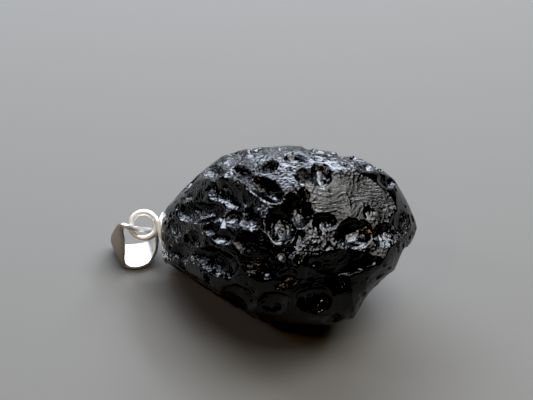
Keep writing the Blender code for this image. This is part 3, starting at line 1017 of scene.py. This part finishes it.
@dataclass
class EndCap:
    """The silver cone glued on the cut end, and the ring soldered to it.

    Args:
        place: the cap's middle as seen, across and up.
        radius, rim, height, top_radius: of the cone.
        gap: the glue line between cap and stone.
        ring_diameter, wire: the ring's outer size and its wire.
        ring_sink: how deep the ring's wire sits in the solder.
        ring_above_cap: how far the ring sits above the cap's middle, as seen.
        sides: round the cone.
        finish: its silver.
    """

    place: Pair = (-15.4, 0.85)
    radius: float = 2.1
    rim: float = 0.25
    height: float = 0.75
    top_radius: float = 0.75
    gap: float = 0.12
    ring_diameter: float = 4.1
    wire: float = 0.78
    ring_sink: float = 0.25
    ring_above_cap: float = 0.45
    sides: int = 96
    finish: SterlingSilver = field(default_factory=lambda: SterlingSilver("sterling_silver_satin_cap", roughness=0.48))

    def middle(self) -> Array:
        """The middle of the cap's base."""
        depth = StoneForm.end_setback
        base = SEEN.place(*self.place, depth)
        base[0] = SEEN.place(STONE_OUTLINE[0][0], 0.0, depth)[0] - self.gap
        return base

    def ring_middle(self) -> Array:
        """The middle of the ring."""
        reach = self.height - self.ring_sink + self.ring_diameter / 2.0
        return self.middle() - reach * SEEN.right_way + self.ring_above_cap * SEEN.up_way

    def profile(self) -> list[Pair]:
        """The cap's outline from its base to the middle of its top: height and radius, edges rounded."""
        rounding = 0.07
        side = [(0.0, self.radius - 0.03), (0.03, self.radius)]
        for k in range(5):
            turn = math.radians(18.0 * k)
            radius = self.radius - rounding * (1.0 - math.cos(turn))
            side.append((self.rim - rounding + rounding * math.sin(turn), radius))
        for k in range(1, 9):
            share = k / 8.0
            bulge = 0.10 * math.sin(math.pi * share)
            radius = self.radius - rounding + (self.top_radius - self.radius + rounding) * share
            side.append((self.rim + (self.height - self.rim) * share + bulge * 0.5, radius))
        side.append((self.height + 0.02, self.top_radius * 0.5))
        return side

    def build(self) -> Object:
        """Make the cap and ring as one piece."""
        base = self.middle()
        profile = self.profile()
        points = []
        for height, radius in profile:
            for j in range(self.sides):
                turn = 2.0 * math.pi * j / self.sides
                points.append(base + [-height, radius * math.cos(turn), radius * math.sin(turn)])
        faces: list[tuple[int, ...]] = list(tube_faces(len(profile), self.sides, closed=False))
        faces.append(tuple(range(self.sides)))
        faces.append(tuple((len(profile) - 1) * self.sides + j for j in range(self.sides)))
        material = self.finish.build()
        cap = new_piece("cap_cone", np.array(points), faces, material)
        wire = RoundWireRing((self.ring_diameter - self.wire) / 2.0, self.wire / 2.0)
        ring = wire.build("cap_ring", self.ring_frame(), material)
        solder = cap.modifiers.new("solder", "BOOLEAN")
        solder.operation = "UNION"
        solder.object = ring
        mesh = settled(cap)
        for made in (cap, ring):
            bpy.data.objects.remove(made)
        mesh.name = "end_cap_with_ring"
        mesh.shade_smooth()
        mesh.set_sharp_from_angle(angle=CREASE_ANGLE)
        coordinates = np.array([tuple(vertex.co) for vertex in mesh.vertices]) / MM
        mesh.vertices.foreach_set("co", (fit_in_box(coordinates, Node.END_CAP) * MM).ravel())
        piece = add_object("end_cap_with_ring", mesh)
        declare(piece, Node.END_CAP, Body.PENDANT)
        return piece

    def ring_frame(self) -> Matrix:
        """The ring's own frame, in metres: its Z axis faces the eye point."""
        right, up, away, middle = SEEN.right_way, SEEN.up_way, SEEN.away, self.ring_middle()
        rows = [(right[k], up[k], -away[k], middle[k] * MM) for k in range(3)]
        return Matrix((*rows, (0.0, 0.0, 0.0, 1.0)))


@dataclass
class Bail:
    """The loose loop of silver sheet: a wide leaf on the surface, a fold and a narrow strap through the ring.

    Args:
        line: x, y and z of the sheet's middle line, its width, and how far it is tipped down at the back.
        thickness: of the sheet.
        strap_swell: how much thicker the narrow strap is, as a share, where the soldered tips meet.
        crown: how far the widest place bulges in its middle.
        yaw: the way that the sheet's width points, turned from the viewer.
        steps: between two places of the line.
        edge_steps, face_steps: round the sheet's edge and across its face.
        finish: its silver.
    """

    line: tuple[tuple[float, float, float, float, float], ...] = (
        (-22.45, 6.50, 2.60, 4.4, 5),
        (-22.65, 6.65, 0.95, 4.6, 0),
        (-22.05, 6.65, 0.30, 4.7, 0),
        (-20.80, 6.60, 0.25, 4.7, 0),
        (-19.40, 7.00, 0.30, 4.0, 0),
        (-18.30, 7.60, 0.90, 2.8, 5),
        (-17.85, 8.00, 2.00, 1.8, 15),
        (-17.75, 7.95, 3.10, 1.1, 28),
        (-18.20, 7.60, 3.85, 0.95, 35),
        (-18.85, 7.00, 4.55, 0.95, 38),
        (-19.50, 6.20, 5.35, 1.0, 38),
        (-20.60, 5.35, 6.40, 1.2, 38),
        (-21.50, 5.45, 6.70, 1.7, 34),
        (-21.90, 5.65, 5.85, 2.4, 26),
        (-22.10, 6.10, 4.40, 3.5, 14),
    )
    thickness: float = 0.45
    strap_swell: float = 0.35
    crown: float = 0.15
    yaw: float = math.radians(25.0)
    steps: int = 14
    edge_steps: int = 4
    face_steps: int = 8
    # The sheet's silver carries painted shade: grey-brown #a89c8a left of X -21.2 mm, on the outer side of the fold,
    # which lies in shade.
    finish: SterlingSilver = field(
        default_factory=lambda: SterlingSilver("sterling_silver_satin_sheet_painted_shade", "#f5f3ee", 0.38, 0.7, "#a89c8a", -21.2)
    )

    def curve(self) -> Array:
        """The closed middle line as a smooth curve through its places."""
        places = np.array(self.line)
        count = len(places)
        curve = []
        for k in range(count):
            before, here, after, beyond = (places[(k + n) % count] for n in (-1, 0, 1, 2))
            for step in range(self.steps):
                t = step / self.steps
                pull = (2.0 * before - 5.0 * here + 4.0 * after - beyond) * t**2
                twist = (3.0 * here - before - 3.0 * after + beyond) * t**3
                curve.append(0.5 * (2.0 * here + (after - before) * t + pull + twist))
        return np.array(curve)

    def section(self) -> list[Pair]:
        """The sheet's section: places across from -0.5 to 0.5 with a skin side from -0.5 to 0.5, edges round."""
        corners = []
        faces = np.linspace(-0.5, 0.5, self.face_steps + 1)
        for skin in (0.5, -0.5):
            sign = 1.0 if skin > 0.0 else -1.0
            for place in faces:
                corners.append((sign * place, skin))
            for k in range(1, self.edge_steps):
                turn = math.pi * k / self.edge_steps
                corners.append((sign * (0.5 + 0.12 * math.sin(turn) / 2.0), skin * math.cos(turn)))
        return corners

    def build(self) -> Object:
        """Make the bail."""
        curve = self.curve()
        line, widths, tips = curve[:, :3], curve[:, 3], np.radians(curve[:, 4])
        ahead = np.roll(line, -1, axis=0) - np.roll(line, 1, axis=0)
        level = np.array([math.sin(self.yaw), -math.cos(self.yaw), 0.0])
        across = np.cos(tips)[:, None] * level + np.sin(tips)[:, None] * np.array([0.0, 0.0, 1.0])
        outward = np.cross(ahead, across)
        outward /= np.linalg.norm(outward, axis=1, keepdims=True)
        section = self.section()
        points = []
        for place, out, side_way, width in zip(line, outward, across, widths):
            for side, skin in section:
                crown = self.crown * width / widths.max() * max(1.0 - 4.0 * side**2, 0.0)
                edge = min(max(side, -0.5), 0.5) * (width - 0.12) + (abs(side) > 0.5) * math.copysign(0.06, side)
                stout = self.thickness * (1.0 + self.strap_swell * min(max((2.0 - width) / 0.8, 0.0), 1.0))
                points.append(place + out * (stout * skin + crown) + edge * side_way)
        points = np.array(points)
        points[:, 2] -= points[:, 2].min()
        points = fit_in_box(points, Node.BAIL)
        faces = tube_faces(len(line), len(section), True)
        bail = new_piece("bail_sheet", points, faces, self.finish.build())
        declare(bail, Node.BAIL, Body.BAIL)
        return bail


@dataclass
class Studio:
    """The pale floor, the soft lights and the camera.

    Args:
        image_width, mm_per_pixel: of the picture, in the plane through the stone's middle.
        sensor_mm, nearest: the camera's sensor width, and the nearest thing that it shows, in metres.
        floor_size: in metres.
        surround: tone of the dim room round the lights.
        exposure, gamma, black_level: of the picture, which give it a camera's contrast.
        lights: each one's name, place, size, glow and tone, as light() takes them.
    """

    image_width: int = 533
    mm_per_pixel: float = 0.12
    sensor_mm: float = 36.0
    nearest: float = 0.005
    floor_size: float = 1.2
    surround: str = "#111112"
    exposure: float = 0.05
    gamma: float = 0.9
    black_level: float = 0.0065
    lights: tuple[tuple[str, Place, Pair, float, str], ...] = (
        ("window", (-0.06, 0.37, 0.27), (0.60, 0.28), 12.0, "#e3ecfb"),
        ("ceiling", (0.20, 0.02, 0.50), (0.40, 0.40), 6.2, "#f4f2ee"),
        ("skylight", (0.27, 0.17, 0.46), (0.34, 0.05), 30.0, "#dfe8fa"),
        ("side_strip", (-0.42, 0.06, 0.30), (0.04, 0.16), 20.0, "#e3ecfb"),
        ("lamp", (-0.22, -0.22, 0.40), (0.015, 0.015), 300.0, "#ffcfa0"),
        ("low_lamp", (-0.10, -0.42, 0.24), (0.024, 0.024), 110.0, "#ffe9d2"),
    )

    def floor(self) -> Object:
        """A wide floor just under the pendant."""
        half = self.floor_size / 2.0
        mesh = bpy.data.meshes.new("floor")
        corners = [(-half, -half, 0.0), (half, -half, 0.0), (half, half, 0.0), (-half, half, 0.0)]
        mesh.from_pydata(corners, [], [(0, 1, 2, 3)])
        mesh.materials.append(PaintedBoard().build())
        floor = add_object("floor", mesh)
        return floor

    def light(self, name: str, place: Place, size: Pair, glow: float, tone: str) -> None:
        """A rectangular soft light that faces the pendant.

        Args:
            name: of the light.
            place: its middle, in metres.
            size: its width and height, in metres.
            glow: its brightness for each area of it, in watts for a square metre and a steradian.
            tone: its colour.
        """
        lamp = bpy.data.lights.new(name, "AREA")
        lamp.color = linear(tone)[:3]
        lamp.shape = "RECTANGLE"
        lamp.size, lamp.size_y = size
        lamp.energy = glow * math.pi * size[0] * size[1]
        thing = add_object(name, lamp)
        thing.location = place
        aim = Vector((0.0, 0.0, 0.01)) - Vector(place)
        thing.rotation_euler = aim.to_track_quat("-Z", "Y").to_euler()

    def camera(self) -> Object:
        """The camera at the eye point, looking along the line of sight."""
        lens = bpy.data.cameras.new("camera")
        lens.sensor_width = self.sensor_mm
        lens.lens = lens.sensor_width * SEEN.distance / self.mm_per_pixel / self.image_width
        lens.clip_start = self.nearest
        camera = add_object("camera", lens)
        right, up, away = SEEN.right_way, SEEN.up_way, SEEN.away
        rows = [(right[k], up[k], -away[k], SEEN.eye[k] * MM) for k in range(3)]
        camera.matrix_world = Matrix((*rows, (0.0, 0.0, 0.0, 1.0)))
        bpy.context.scene.camera = camera
        return camera

    def build(self) -> None:
        """Set the floor, lights, world and camera."""
        self.floor()
        for light in self.lights:
            self.light(*light)
        world = bpy.data.worlds.new("studio")
        world.use_nodes = True
        world.node_tree.nodes["Background"].inputs["Color"].default_value = linear(self.surround)
        bpy.context.scene.world = world
        view = bpy.context.scene.view_settings
        view.view_transform = "Standard"
        view.exposure = self.exposure
        view.gamma = self.gamma
        view.use_curve_mapping = True
        view.curve_mapping.black_level = (self.black_level,) * 3
        self.camera()


def main() -> None:
    """Load the frame, lay each piece's fine surface in its place and set the studio."""
    logging.basicConfig(level=logging.INFO, format="%(message)s")
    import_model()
    for part in (Stone(), EndCap(), Bail()):
        piece = part.build()
        LOG.info("%s: %d faces", piece.name, len(piece.data.polygons))
    Studio().build()


if __name__ == "__main__":
    main()
